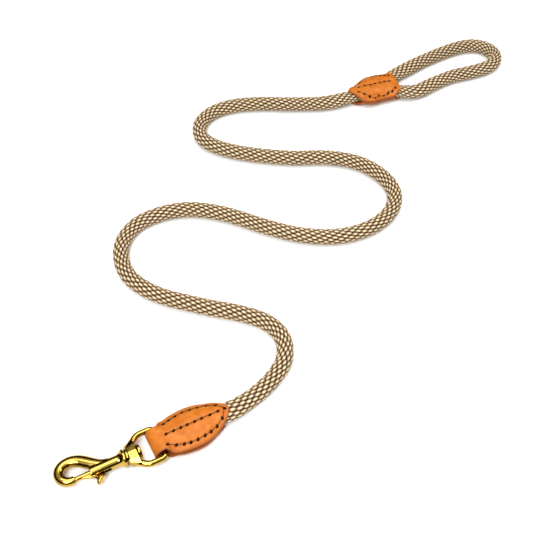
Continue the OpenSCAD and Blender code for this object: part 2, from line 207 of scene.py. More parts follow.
# %% The height of the braid
ROWS, PITCH, STEP = 22, 8.2, 9 / 22
ROW_W = 2 * np.pi * ROPE_R / ROWS
CLOSER_FROM, CLOSER = 900, 0.88       # from here on the pitch is this much of itself
BUMP_LONG, BUMP_WIDE = 2.95, 1.5      # half the length and half the width of a bump
BUMP_TILT, ROW_TWIST = 0.15, 0.02
BUMP_TALL, ROUND_AT = 1.3, 0.82       # a bump's height, and the level that is at the rope's radius


def braid_height(s, turn):
    """0 in the holes and 1 on top of the bumps, at s millimetres along and turn radians round."""
    row = turn / (2 * np.pi) * ROWS + ROW_TWIST * s / ROW_W
    pos = np.minimum(s, CLOSER_FROM) / PITCH + np.maximum(s - CLOSER_FROM, 0) / (CLOSER * PITCH)
    best = np.zeros_like(row)
    nearest = np.round(row)
    for k in (-1, 0, 1):
        line = nearest + k
        across = (row - line) * ROW_W
        start = pos + line * STEP
        offset = start - np.round(start)
        for m in (-1, 0, 1):
            ahead = (offset + m) * PITCH
            tilted = across - BUMP_TILT * ahead
            q = (ahead / BUMP_LONG) ** 2 + (tilted / BUMP_WIDE) ** 2
            best = np.maximum(best, np.sqrt(np.clip(1 - q, 0, 1)))
    return best


# %% Make the two runs of rope
def rope_run(name, line, at, press, spread, start_s=0.0, around=88):
    high = ROPE_R * np.interp(at, *zip(*press))
    wide = ROPE_R * np.interp(at, *zip(*spread))
    points, out, turn, faces = ring_tube(line, wide, high, around)
    height = braid_height((at + start_s)[:, None] + 0 * turn[None], turn[None] + 0 * at[:, None])
    piece = make_piece(name, points + out * (BUMP_TALL * (height - ROUND_AT))[..., None], faces)
    # The height is kept on the mesh so that the material can paint shade from it.
    paint_value(piece, "braid", height)
    uv = piece.data.uv_layers.new(name="UVMap")
    corner = np.zeros(len(piece.data.loops), np.int32)
    piece.data.loops.foreach_get("vertex_index", corner)
    ring, k = corner // around, corner % around
    totals = np.zeros(len(piece.data.polygons), np.int32)
    piece.data.polygons.foreach_get("loop_total", totals)
    starts = np.r_[0, np.cumsum(totals)[:-1]]
    quad = np.repeat(totals == 4, totals)
    first = np.repeat(corner[starts] % around, totals)
    seam = quad & (k == 0) & (first == around - 1)
    u = (at[ring] + start_s) * MM
    v = (k + around * seam) / around * 2 * np.pi * ROPE_R * MM
    uv.data.foreach_set("uv", np.stack([u, v], 1).astype(np.float32).ravel())
    return piece


PRESSED = 0.692        # height of the rope between two leaves against the round rope's
total, loop_total = lead_at[-1], handle_at[-1]
rope_lead = rope_run(
    "braided_rope_lead", lead_line, lead_at,
    [(0, PRESSED), (38, PRESSED), (60, 1), (total - 40, 1), (total - 14, PRESSED), (total, PRESSED)],
    [(0, 1.2), (42, 1.2), (60, 1), (total - 50, 1), (total - 24, 1.2), (total, 0.9)])
rope_handle = rope_run(
    "braided_rope_handle", handle_line, handle_at,
    [(0, PRESSED), (40, PRESSED), (70, 1), (loop_total - 68, 1), (loop_total - 42, PRESSED),
     (loop_total, PRESSED)],
    [(0, 0.9), (20, 0.9), (40, 1.2), (56, 1.2), (84, 1), (loop_total - 76, 1), (loop_total - 52, 1.2),
     (loop_total - 38, 1.2), (loop_total - 24, 0.9), (loop_total, 0.9)],
    start_s=total)
for piece, node, line, at, exit_mm in (
        (rope_lead, "rope_lead", lead_line, lead_at, (100, -7, 0)),
        (rope_handle, "rope_handle", handle_line, handle_at, (412, 248.4, 0))):
    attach(piece, "lead")
    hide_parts(node)
    print(piece.name, len(piece.data.vertices), "points")

# %% [markdown]
# ## Leather
# Both leathers are vegetable-tanned hide a little over two millimetres thick. The tab is one
# strap folded round the bar of the eye, so that its two leaves hold the flattened end of the
# rope between them. The wrap is two leaves sewn together over the place where the rope meets
# itself. A leaf could be cut from a plane and thickened with a modifier, but then its edge would
# be square. Here each leaf is a grid with an outer and an inner side, and the distance of every
# point to the cut edge is measured. That one distance rounds the edge, and later darkens it,
# because a cut edge is rubbed with wax until it is dark.

# %% Measures of the leather
LEATHER_T, INSIDE_H, FOLD_R, NECK = 2.3, 4.7, 4.7, 10.0
TAB_END, WRAP_START, WRAP_END = 56.4, -28.5, 22
CLOSED = 0.12          # half the gap where two leaves are sewn together
OUTER_ROUND, INNER_ROUND = 0.95, 0.5
SEWN_DEPTH, HOLE_DEPTH = 0.32, 1.1
TAB_EDGE = [(0, 10), (4, 10), (5, 11.1), (6.2, 12.4), (8.5, 13.7), (13, 15), (18, 15.9), (25, 16.5),
            (31, 16.2), (37, 15), (42, 13.1), (46, 11), (50, 8.3), (53, 5.7), (55.2, 3), (TAB_END, 0.6)]
WRAP_NEAR_EDGE = [(WRAP_START, 0.8), (-27.5, 3), (-25, 6.4), (-22, 9.8), (-18, 13), (-13, 15.6), (-8, 16.8),
                  (-3, 16.8), (3, 16), (8, 16.2), (13, 15.7), (17, 14.6), (20, 13.1), (WRAP_END, 11.7)]
WRAP_FAR_EDGE = [(WRAP_START, 0.8), (-27, 2.6), (-25, 4.6), (-21.5, 7.8), (-18, 10.6), (-14, 13.6), (-9, 16.6),
                 (-4, 18.4), (0, 18.8), (4, 17.9), (8, 15.9), (11, 14.7), (14, 14.2), (17, 14.2), (20, 13.4),
                 (WRAP_END, 12)]
WRAP_MID = [(-28, -2.6), (-15, -2), (-6, 3.3), (4, 4), (12, 3.3), (22, 3)]
WRAP_REACH = [(-30, 9.5), (-15, 10.5), (-6, 14.2), (4, 14.8), (12, 16.8), (16, 20), (22, 30)]


def eased(x, a, b):
    """1 before a, 0 after b, and a smooth slope between them."""
    return 0.5 + 0.5 * np.cos(np.pi * np.clip((x - a) / (b - a), 0, 1))


def edge_curve(table):
    line = smooth_line([(a, b, 0) for a, b in table], 10)
    return lambda x: np.interp(x, line[:, 0], line[:, 1])


tab_half = edge_curve(TAB_EDGE)
wrap_near, wrap_far = edge_curve(WRAP_NEAR_EDGE), edge_curve(WRAP_FAR_EDGE)


def dome(y, h, power):
    return np.maximum(0, 1 - (np.abs(y) / h) ** power)


def tab_inner(x, y):
    edge = CLOSED + (FOLD_R - CLOSED) * eased(x, 2, 11)
    return edge + (INSIDE_H - edge) * dome(y, np.maximum(13.5, tab_half(x)), 2)


def wrap_inner(u, v):
    mid, reach = np.interp(u, *zip(*WRAP_MID)), np.interp(u, *zip(*WRAP_REACH))
    return CLOSED + (INSIDE_H - CLOSED) * dome(v - mid, reach, 4)


# %% Where the needle went
TAB_FAR = [(9.7, 9.6), (14.2, 11), (19.7, 12), (25.2, 12.5), (31.2, 12), (36.7, 11.2), (42.7, 9.4),
           (48.7, 5.9)]
TAB_NEAR = [(5.9, -7.4), (11.2, -9.9), (16.5, -11.5), (21.2, -12.3), (26.5, -12.5), (32.2, -12),
            (37.2, -11.1), (42.7, -9.4), (48.5, -5.9)]
TAB_TIP = [(53.2, 0.2)]
TAB_EDGE_HOLES = TAB_FAR + TAB_TIP + TAB_NEAR[::-1]
TAB_MIDDLE = [(8, 0.3), (13.7, 0.3), (19.2, 0.2), (24.2, 0.3), (29.9, 0.2), (35.2, 0.3), (41.7, 0.2),
              (47.9, 0.2)]
WRAP_MIDDLE = [(-17.3, 1.6), (-10.7, 2.2), (-5, 1.8), (0, 2.3), (4.8, 1.9), (10, 2.4), (14.9, 1.7)]
WRAP_NEAR = [(-19.6, -4.9), (-15.4, -8.9), (-10.4, -10.9), (-5.6, -13.3), (-1, -11.6), (3.6, -12.6),
             (8.5, -11.3), (12.9, -11.2), (16.6, -8.9)]
WRAP_FAR = [(-20.6, 4.8), (-16.4, 8.6), (-11.4, 12.4), (-6, 15.4), (-0.5, 16), (4.8, 14.6), (9.6, 12.2),
            (13.6, 10.9), (17.2, 10.3)]
print("holes in the tab:", len(TAB_EDGE_HOLES) + len(TAB_MIDDLE))


# %% One side of a leaf
def distance_to_line(x, y, line):
    p = np.stack([x.ravel(), y.ravel()], 1)
    a, b = line[:-1], line[1:]
    ab = b - a
    best = np.full(len(p), 1e9)
    for i in range(len(a)):
        t = np.clip(((p - a[i]) @ ab[i]) / max(ab[i] @ ab[i], 1e-9), 0, 1)
        best = np.minimum(best, np.linalg.norm(p - a[i] - t[:, None] * ab[i], axis=1))
    return best.reshape(x.shape)


def outline_of(near, far, x0, x1):
    """A closed line round the leaf, up its far edge and back down its near one."""
    xs = np.r_[np.arange(x0, x1, 0.8), x1]
    there, back = np.stack([xs, far(xs)], 1), np.stack([xs, -near(xs)], 1)[::-1]
    return np.concatenate([there, back, there[:1]])


def rounded(e, r):
    """How far a rounded edge of radius r has dropped, at a distance e from the edge."""
    e = np.clip(e, 0, r)
    return r - np.sqrt(np.maximum(r * r - (r - e) ** 2, 0))


def sewing_marks(x, y, rows):
    """How deep the thread has pulled the leather in, and how near a point is to a hole."""
    pull, hole = np.zeros_like(x), np.zeros_like(x)
    for row in rows:
        d = distance_to_line(x, y, np.array(row, float))
        pull = np.maximum(pull, np.exp(-(d / 1.3) ** 2))
        for i, (hx, hy) in enumerate(row):
            ax, ay = np.array(row[min(i + 1, len(row) - 1)]) - np.array(row[max(i - 1, 0)])
            n = math.hypot(ax, ay)
            lean = math.atan2(ay / n, ax / n) + 0.7
            p = (x - hx) * math.cos(lean) + (y - hy) * math.sin(lean)
            q = (y - hy) * math.cos(lean) - (x - hx) * math.sin(lean)
            hole = np.maximum(hole, np.exp(-((p / 1.3) ** 2 + (q / 0.9) ** 2) ** 2))
    return pull, hole


def ripple(x, y, seed):
    """The slow unevenness of hide, about a tenth of a millimetre."""
    random = np.random.default_rng(seed)
    out = np.zeros_like(x)
    for _ in range(9):
        turn, wave, shift = random.uniform(0, 6.28), random.uniform(6, 22), random.uniform(0, 6.28)
        out += np.sin((x * np.cos(turn) + y * np.sin(turn)) * 6.28 / wave + shift)
    return out * 0.035


def leaf_side(x_rows, columns, near, far, inner, outline, rows, seed):
    x = np.repeat(x_rows[:, None], len(columns), 1)
    y = columns[None, :] * np.where(columns[None, :] < 0, near(x_rows)[:, None], far(x_rows)[:, None])
    e = distance_to_line(x, y, outline)
    pull, hole = sewing_marks(x, y, rows)
    z_in = inner(x, y)
    z_out = z_in + LEATHER_T - rounded(e, OUTER_ROUND) + ripple(x, y, seed) * np.clip(e / 3, 0, 1)
    z_out -= SEWN_DEPTH * pull + HOLE_DEPTH * hole
    return x, y, z_in + rounded(e, INNER_ROUND), z_out, e, pull, hole


# %% Join the sides of a leather
def crowded(start, end):
    """Stations from start to end, twice as close in the two millimetres at both ends."""
    inside = np.arange(start + 2, end - 2, 0.5)
    return np.r_[np.arange(start, start + 2, 0.25), inside, np.arange(end - 2, end, 0.25), end]


COLUMNS = np.r_[-1, -0.985, -0.965, -0.94, np.linspace(-0.91, 0.91, 76), 0.94, 0.965, 0.985, 1]


def strip_faces(rows, cols, flip):
    """Faces of a slab: an outer grid, an inner grid after it, and the four edges between them."""
    n, i, k = rows * cols, np.arange(rows - 1), np.arange(cols - 1)
    a = (i[:, None] * cols + k[None]).ravel()
    outer = np.stack([a, a + 1, a + cols + 1, a + cols], 1)
    left = np.stack([i * cols, (i + 1) * cols, n + (i + 1) * cols, n + i * cols], 1)
    r = cols - 1
    right = np.stack([i * cols + r, n + i * cols + r, n + (i + 1) * cols + r, (i + 1) * cols + r], 1)
    first = np.stack([k, n + k, n + k + 1, k + 1], 1)
    b = (rows - 1) * cols
    last = np.stack([b + k, b + k + 1, n + b + k + 1, n + b + k], 1)
    faces = np.concatenate([outer, n + outer[:, ::-1], left, right, first, last])
    return [tuple(int(v) for v in (f[::-1] if flip else f)) for f in faces]


def leather_piece(name, node, outer, inner, e, pull, hole, flip, place):
    rows, cols = outer.shape[:2]
    points = np.concatenate([outer.reshape(-1, 3), inner.reshape(-1, 3)])
    piece = make_piece(name, place(points), strip_faces(rows, cols, flip))
    paint_value(piece, "edge", np.r_[np.exp(-(e.ravel() / 0.9)), np.ones(rows * cols)])
    paint_value(piece, "sewn", np.r_[pull.ravel(), np.zeros(rows * cols)])
    paint_value(piece, "hole", np.r_[hole.ravel(), np.zeros(rows * cols)])
    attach(piece, "lead")
    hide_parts(node)
    print(name, len(piece.data.vertices), "points")
    return piece


def in_tab(p):
    return p + np.array([TAB_X, AXIS_Y, 0])


# %% [markdown]
# The tab starts at the point of its upper leaf, runs to the eye, goes round the bar and comes
# back as the lower leaf. The lower leaf lies about a millimetre off to one side, as a strap does
# that is folded by hand, so its edge shows below the upper one. It is also a little shorter, so
# the point on top is the one that is seen.

# %% The hook tab
tab_rows = crowded(BAR_X - TAB_X, TAB_END)[::-1]
tab_outline = outline_of(tab_half, tab_half, -4, TAB_END)


def tab_leaf(seed):
    return leaf_side(tab_rows, COLUMNS, tab_half, tab_half, tab_inner, tab_outline,
                     [TAB_EDGE_HOLES, TAB_MIDDLE], seed)


x, y, zi, zo, e, pull, hole = tab_leaf(4)
top_out, top_in = np.stack([x, y, zo], -1), np.stack([x, y, zi], -1)
aside = -0.8 * eased(-x, -16, -6) * eased(x, 28, 44)
x2, y2, zi2, zo2, e2, pull2, hole2 = tab_leaf(9)
shorter = x2 * (1 - 0.035 * x2 / TAB_END)
low_out = np.stack([shorter, y2 + aside, -zo2], -1)[::-1]
low_in = np.stack([shorter, y2 + aside, -zi2], -1)[::-1]

bend = np.radians(np.arange(95, 266, 5))
fold_y = np.repeat(COLUMNS[None, :] * NECK, len(bend), 0)
fold_e = NECK - np.abs(fold_y)


def fold_rows(radius, soften):
    r = radius - soften * rounded(fold_e, OUTER_ROUND)
    return np.stack([BAR_X - TAB_X + r * np.cos(bend)[:, None], fold_y, r * np.sin(bend)[:, None]], -1)


nothing = np.zeros_like(fold_y)
hook_tab = leather_piece(
    "leather_hook_tab", "hook_tab",
    np.concatenate([top_out, fold_rows(FOLD_R + LEATHER_T, 1), low_out]),
    np.concatenate([top_in, fold_rows(FOLD_R, -0.5), low_in]),
    np.concatenate([e, fold_e, e2[::-1]]), np.concatenate([pull, nothing, pull2[::-1]]),
    np.concatenate([hole, nothing, hole2[::-1]]), flip=True, place=in_tab)

# %% The wrap round the hand loop
WRAP_AT, WRAP_TURN = np.array([404.0, 253.3, 0.0]), math.radians(-10.2)


def in_wrap(p):
    c, s = math.cos(WRAP_TURN), math.sin(WRAP_TURN)
    p = np.asarray(p, float)
    return np.stack([c * p[..., 0] - s * p[..., 1], s * p[..., 0] + c * p[..., 1], p[..., 2]], -1) + WRAP_AT


wrap_rows = crowded(WRAP_START, WRAP_END)
wrap_outline = outline_of(wrap_near, wrap_far, WRAP_START, WRAP_END)
wraps = []
for name, node, side, seed in (("leather_wrap_upper", "wrap_upper", 1, 21),
                               ("leather_wrap_lower", "wrap_lower", -1, 33)):
    x, y, zi, zo, e, pull, hole = leaf_side(wrap_rows, COLUMNS, wrap_near, wrap_far, wrap_inner,
                                            wrap_outline, [WRAP_MIDDLE, WRAP_NEAR, WRAP_FAR], seed)
    slip = 0 if side > 0 else -0.3 * eased(x, -20, 10)
    outer, inner = np.stack([x, y + slip, side * zo], -1), np.stack([x, y + slip, side * zi], -1)
    wraps.append(leather_piece(name, node, outer, inner, e, pull, hole, flip=side > 0, place=in_wrap))

# %% [markdown]
# ## Thread
# The leathers are saddle-stitched by hand: one waxed thread with a needle at each end goes
# through every hole from both sides, so a short length shows between every two holes. Each
# length comes up out of one hole, lies on the leather, and goes down the next one a little
# to the other side, which gives the row its slant.

# %% Lay the stitches
THREAD_R, THREAD_LIFT, SLANT = 0.28, 0.26, 0.3


def near_ends(t, width, power):
    """1 at both ends of a stitch, and 0 away from them."""
    return np.exp(-(t / width) ** power) + np.exp(-((1 - t) / width) ** power)


def stitches(name, node, holes, height, place, ends=()):
    points, faces, sunk, base = [], [], [], 0
    for side in (1, -1):
        for a, b in list(zip(holes[:-1], holes[1:])) + list(ends):
            a, b = np.array(a, float), np.array(b, float)
            go = (b - a) / np.linalg.norm(b - a)
            across = np.array([-go[1], go[0]]) * SLANT
            line = []
            for t in np.linspace(0, 1, 15):
                p = a + (b - a) * t + across * (2 * t - 1)
                z = height(p[0], p[1]) - SEWN_DEPTH + THREAD_LIFT - 1.25 * near_ends(t, 0.07, 2)
                line.append((p[0], p[1], side * z))
            line = smooth_line(line, 2)
            ring, _, _, f = ring_tube(line, THREAD_R, THREAD_R, 10, frames=turning_frames)
            points.append(ring.reshape(-1, 3))
            # Painted shade: the ends of each stitch, where the thread goes down into a hole, are marked to be
            # painted near black.
            dark = np.clip(near_ends(np.linspace(0, 1, len(line)), 0.16, 4), 0, 1)
            sunk.append(np.repeat(dark, 10))
            faces += [tuple(v + base for v in face) for face in f]
            base += ring.shape[0] * ring.shape[1]
    piece = make_piece(name, place(np.concatenate(points)), faces)
    paint_value(piece, "sunk", np.concatenate(sunk))
    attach(piece, "lead")
    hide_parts(node)
    return piece


def tab_top(x, y):
    return float(tab_inner(np.array(x), np.array(y))) + LEATHER_T


def wrap_top(u, v):
    return float(wrap_inner(np.array(u), np.array(v))) + LEATHER_T


threads = [
    stitches("tab_edge_stitches", "tab_edge_thread", TAB_EDGE_HOLES, tab_top, in_tab,
             ends=[((9.7, 9.6), (4.6, 9.5)), ((5.9, -7.4), (6.3, -11.9))]),
    stitches("tab_middle_stitches", "tab_centre_thread", TAB_MIDDLE, tab_top, in_tab),
    stitches("wrap_near_stitches", "wrap_near_thread", WRAP_NEAR, wrap_top, in_wrap),
    stitches("wrap_middle_stitches", "wrap_centre_thread", WRAP_MIDDLE, wrap_top, in_wrap),
    stitches("wrap_far_stitches", "wrap_far_thread", WRAP_FAR, wrap_top, in_wrap)]
print("rows of stitches:", len(threads))

# %% [markdown]
# ## Brass
# The snap is cast brass: the bow and shank are one casting, the bolt with its thumb knob is
# another, and the eye a third. Castings have no sharp edges, because the mould is rounded and
# the piece is tumbled and polished. Simple closed shapes are laid over each other here, a voxel
# remesh melts them into one skin, and a few rounds of smoothing take off the edges. Bores and slots
# are cut out before the smoothing, so their edges are softened too. A cutting shape must face
# outwards like any other: one that is inside out cuts nothing, and gives no warning.

# %% Turned shapes along the snap's axis
POLE = 0.01            # radius where a turned shape closes on its axis


def turned(name, profile, around=96):
    """A closed shape turned about the X axis from (distance, radius) points."""
    profile = np.array(profile, float)
    turn = np.linspace(0, 2 * np.pi, around, endpoint=False)
    points = np.stack([np.repeat(profile[:, :1], around, 1), profile[:, 1:] * np.cos(turn),
                       profile[:, 1:] * np.sin(turn)], -1)
    return make_piece(name, points, tube_faces(len(profile), around))


def arc_profile(x, r, radius, start, end, steps=6):
    """Points of a rounded edge: centre x, r, from one angle to another in degrees."""
    a = np.radians(np.linspace(start, end, steps))
    return [(x + radius * math.cos(t), r + radius * math.sin(t)) for t in a]


def rod_shape(name, x0, x1, radius):
    return turned(name, [(x0, POLE), (x0, radius), (x1, radius), (x1, POLE)], 64)


# %% Melt pieces into one casting
def bake_modifiers(piece):
    graph = bpy.context.evaluated_depsgraph_get()
    mesh = bpy.data.meshes.new_from_object(piece.evaluated_get(graph))
    old = piece.data
    piece.modifiers.clear()
    piece.data = mesh
    bpy.data.meshes.remove(old)


def remesh(piece, voxel):
    m = piece.modifiers.new("melt", "REMESH")
    m.mode = "VOXEL"
    m.voxel_size = voxel * MM
    m.use_smooth_shade = True


def melt(name, parts, cutters, voxel, rounds):
    bpy.ops.object.select_all(action="DESELECT")
    for p in parts:
        p.select_set(True)
    bpy.context.view_layer.objects.active = parts[0]
    bpy.ops.object.join()
    piece = bpy.context.view_layer.objects.active
    piece.name = name
    remesh(piece, voxel * 1.2)
    bake_modifiers(piece)
    for cutter in cutters:
        m = piece.modifiers.new("cut", "BOOLEAN")
        m.operation = "DIFFERENCE"
        m.solver = "EXACT"
        m.object = cutter
        bake_modifiers(piece)
        bpy.data.objects.remove(cutter)
    remesh(piece, voxel)
    tumble = piece.modifiers.new("tumble", "SMOOTH")
    tumble.factor = 0.5
    tumble.iterations = rounds
    bake_modifiers(piece)
    print(name, len(piece.data.vertices), "points")
    return piece


def box_piece(name, low, high):
    (x0, y0, z0), (x1, y1, z1) = low, high
    points = [(x, y, z) for x in (x0, x1) for y in (y0, y1) for z in (z0, z1)]
    faces = [(0, 1, 3, 2), (4, 6, 7, 5), (0, 4, 5, 1), (2, 3, 7, 6), (0, 2, 6, 4), (1, 5, 7, 3)]
    return make_piece(name, points, faces, smooth=False)


# %% [markdown]
# ### The hook body
# The bow starts at its blunt tip, goes round the ring seat and swells at the shoulder before it
# runs down into the shank. The shank is a plain round rod that flares into a flange, which
# turns against the eye. The bolt slides in a bore, and its thumb knob sticks out of a slot.

# %% The hook body
BOW_R, BOW_W = 7.0, 7.6
SHANK_X, SHANK_R, FLANGE_R = 13, 4.3, 6.9
STEM_X = 34.5          # the bolt's bore ends here, and the rivet's stem begins
BOLT_R, BORE_R, SLOT_HALF, SLOT_END = 1.9, 2.25, 1.7, 27.0


def on_circle(x, y, radius, angles):
    return [(x + radius * math.cos(math.radians(a)), y + radius * math.sin(math.radians(a)), 0) for a in angles]


bow_points = [(2, 0, 0)] + on_circle(0, BOW_R, BOW_R, range(-90, -241, -30))
bow_points += [(0, 14.2, 0), (4.5, 14.1, 0), (9, 12.3, 0), (13, 9.2, 0), (17.5, 5.4, 0), (22, 2.6, 0),
               (27, 1, 0), (33, 0, 0)]
BOW_WIDE = [0.76, 0.8, 0.88, 0.94, 0.98, 1, 1.02, 1.06, 1.1, 1.14, 1.18, 1.14, 1.02, 1.06, 1.12]
BOW_HIGH = [0.76, 0.8, 0.86, 0.92, 0.92, 0.92, 0.94, 0.96, 0.98, 0.98, 0.98, 0.98, 0.98, 0.98, 0.98]


def follow(values, steps):
    return smooth_line([(v, 0, 0) for v in values], steps)[:, 0]


def wire(name, line, wide, high, around, frames=level_frames):
    tube, _, _, faces = ring_tube(line, wide, high, around, frames)
    return make_piece(name, tube, faces)


bow = wire("bow", smooth_line(bow_points, 12), follow(BOW_WIDE, 12) * BOW_W / 2,
           follow(BOW_HIGH, 12) * BOW_W / 2, 64)
shank = turned("shank", [(SHANK_X, POLE)] + arc_profile(SHANK_X + 0.5, SHANK_R - 0.5, 0.5, 180, 90)
               + [(20, SHANK_R), (28, SHANK_R), (33, SHANK_R), (34, 4.6), (35, 5.15), (36, 5.95)]
               + arc_profile(37.2, FLANGE_R - 0.8, 0.8, 130, 90)
               + arc_profile(37.8, FLANGE_R - 0.8, 0.8, 90, 0) + [(38.6, POLE)])
bore = rod_shape("bore", SHANK_X - 1, STEM_X, BORE_R)
slot = box_piece("slot", (SHANK_X - 1, -8, -SLOT_HALF), (SLOT_END, -0.2, SLOT_HALF))
hook_body = melt("hook_body_casting", [bow, shank], [bore, slot], voxel=0.2, rounds=7)

# %% The bolt with its web and thumb knob
KNOB_X, KNOB_Y, KNOB_LEAN, KNOB_FLAT = 14, -1.5, 34, 0.7
WEB_HALF = 1.15
rod = turned("rod", [(2.2, POLE), (2.2, BOLT_R - 0.3), (2.5, BOLT_R), (19, BOLT_R), (19, POLE)], 64)
web = box_piece("web", (8, -3.7, -WEB_HALF), (15.8, -1.3, WEB_HALF))
for v in web.data.vertices:
    if v.co.x < 9 * MM:
        v.co.x = (12.5 if v.co.y < -3 * MM else 5.5) * MM
knob_profile = [(0, POLE), (0, 1.5), (3.6, 1.5), (4.4, 1.7), (5.2, 2.1), (5.8, 2.7), (6.3, 3.4)]
knob_profile += arc_profile(7.6, 3.1, 1.3, 140, 10, 9) + [(9.0, 2.2), (9.1, POLE)]
knob = turned("knob", knob_profile, 64)
lean = math.radians(KNOB_LEAN - 90)
for v in knob.data.vertices:
    kx, ky = v.co.x, v.co.y
    v.co.x = kx * math.cos(lean) - ky * math.sin(lean) + KNOB_X * MM
    v.co.y = kx * math.sin(lean) + ky * math.cos(lean) + KNOB_Y * MM
    v.co.z *= KNOB_FLAT
bolt = melt("bolt_casting", [rod, web, knob], [], voxel=0.17, rounds=6)

# %% [markdown]
# ### The swivel
# The rivet's stem is pressed into the shank and turns in the eye's block. The eye has two arms
# that spread from the block, run parallel and meet in a round bar under the folded leather.

# %% The swivel rivet and the eye
STEM_R, HEAD_R, HEAD_ROUND = 2.5, 4.7, 0.8
ARM_Y, CORNER_R, ARM_R = 12.7, 3.0, 2.3
rivet = turned("swivel_rivet_turned",
               [(STEM_X, POLE), (STEM_X, STEM_R), (47.6, STEM_R), (47.6, HEAD_R)]
               + arc_profile(48.5, HEAD_R, HEAD_ROUND, 160, 90)
               + arc_profile(49.3, HEAD_R, HEAD_ROUND, 90, 10) + [(50.2, 3.2), (50.3, POLE)])
arm = [(41.5, 5.1, 0), (44, 6.8, 0), (46.5, 8.7, 0), (49, 10.7, 0), (51.5, 12.1, 0), (54, ARM_Y, 0)]
arm += on_circle(BAR_X - CORNER_R, ARM_Y - CORNER_R, CORNER_R, range(90, -1, -15)) + [(BAR_X, 4, 0)]
stout = [1.1, 1.12, 1.1, 1.06, 1.02] + [1] * 9
ring_r = follow(stout + stout[::-1], 6) * ARM_R
ring = wire("ring", smooth_line(arm + [(x, -y, z) for x, y, z in arm[::-1]], 6), ring_r, ring_r, 48)
half_block = [(0, 5.2), (3.85, 4.6), (7, 2.6)]
section = half_block + [(y, -z) for y, z in half_block[::-1]]
section += [(-y, -z) for y, z in half_block[1:]] + [(-y, z) for y, z in half_block[:0:-1]]
n = len(section)
block = make_piece("block", [(x, y * grow, z) for x, grow in ((39.9, 1), (47.3, 1.5)) for y, z in section],
                   [tuple(range(n)), tuple(range(2 * n - 1, n - 1, -1))]
                   + [(i, n + i, n + (i + 1) % n, (i + 1) % n) for i in range(n)], smooth=False)
boss = turned("boss", [(38.9, POLE), (38.9, 5.9), (39.3, 6.3), (40.6, 6.3), (40.6, POLE)])
eye_bore = rod_shape("eye_bore", 38, 48.5, STEM_R + 0.1)
eye = melt("swivel_eye_casting", [ring, block, boss], [eye_bore], voxel=0.22, rounds=6)

# %% The spring behind the bolt
TURNS, COIL_R, WIRE_R = 7, 1.55, 0.28
turn = np.linspace(0, 2 * np.pi * TURNS, 260)
coil = np.stack([np.linspace(19.3, 34.2, 260), COIL_R * np.cos(turn), COIL_R * np.sin(turn)], 1)
spring = wire("bolt_spring_wire", coil, WIRE_R, WIRE_R, 12, turning_frames)

# %% Put the snap on its axis
for piece, body, node, finish in (
        (hook_body, "snap", "hook_body", "brass"), (bolt, "bolt", "bolt", "brass"),
        (rivet, "snap", "swivel_rivet", "brass"), (eye, "eye", "swivel_eye", "brass"),
        (spring, "snap", "bolt_spring", "spring_steel")):
    for v in piece.data.vertices:
        v.co.y += AXIS_Y * MM
    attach(piece, body)
    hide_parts(node)
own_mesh(spring)
print("snap pieces in place")

# %% [markdown]
# ## Finishes
# Every finish is made of nodes, so it has no edges or seams and works at any distance. One effect
# is shared by them all, so it is a node group with its own inputs: a fine unevenness, which gives
# a height for bumps and a broad mask for patches.

# %% A shared group: uneven surface
def new_group(name, inputs, outputs):
    group = bpy.data.node_groups.new(name, "ShaderNodeTree")
    for label, value in inputs.items():
        socket = group.interface.new_socket(name=label, in_out="INPUT", socket_type="NodeSocketFloat")
        socket.default_value = value
    for label in outputs:
        group.interface.new_socket(name=label, in_out="OUTPUT", socket_type="NodeSocketFloat")
    return group, group.nodes.new("NodeGroupInput"), group.nodes.new("NodeGroupOutput")


uneven, g_in, g_out = new_group("uneven_surface", {"Scale": 400.0, "Detail": 4.0}, ["Height", "Patches"])
place = uneven.nodes.new("ShaderNodeTexCoord")
fine = uneven.nodes.new("ShaderNodeTexNoise")
broad = uneven.nodes.new("ShaderNodeTexNoise")
part = uneven.nodes.new("ShaderNodeMath")
part.operation = "MULTIPLY"
part.inputs[1].default_value = 0.12
uneven.links.new(g_in.outputs["Scale"], fine.inputs["Scale"])
uneven.links.new(g_in.outputs["Scale"], part.inputs[0])
uneven.links.new(part.outputs[0], broad.inputs["Scale"])
for noise in (fine, broad):
    uneven.links.new(place.outputs["Object"], noise.inputs["Vector"])
    uneven.links.new(g_in.outputs["Detail"], noise.inputs["Detail"])
uneven.links.new(fine.outputs["Fac"], g_out.inputs["Height"])
uneven.links.new(broad.outputs["Fac"], g_out.inputs["Patches"])
print("group:", uneven.name)


# %% Small helpers for materials
def new_finish(name):
    finish = bpy.data.materials.new(name)
    finish.use_nodes = True
    return finish, finish.node_tree, finish.node_tree.nodes["Principled BSDF"]


def add_group(tree, group, **values):
    node = tree.nodes.new("ShaderNodeGroup")
    node.node_tree = group
    for key, value in values.items():
        node.inputs[key].default_value = value
    return node


def ramp(tree, source, stops):
    node = tree.nodes.new("ShaderNodeValToRGB")
    while len(node.color_ramp.elements) < len(stops):
        node.color_ramp.elements.new(0.5)
    for element, (position, colour) in zip(node.color_ramp.elements, stops):
        element.position = position
        element.color = (*colour, 1)
    tree.links.new(source, node.inputs["Fac"])
    return node.outputs["Color"]


def grey_ramp(tree, source, *stops):
    return ramp(tree, source, [(position, (level,) * 3) for position, level in stops])


def mixed(tree, mask, a, b, kind="MIX"):
    node = tree.nodes.new("ShaderNodeMix")
    node.data_type = "RGBA"
    node.blend_type = kind
    sockets = {s.identifier: s for s in node.inputs}
    for key, value in (("Factor_Float", mask), ("A_Color", a), ("B_Color", b)):
        if isinstance(value, (int, float)):
            sockets[key].default_value = value
        elif isinstance(value, tuple):
            sockets[key].default_value = (*value, 1)
        else:
            tree.links.new(value, sockets[key])
    return [s for s in node.outputs if s.identifier == "Result_Color"][0]


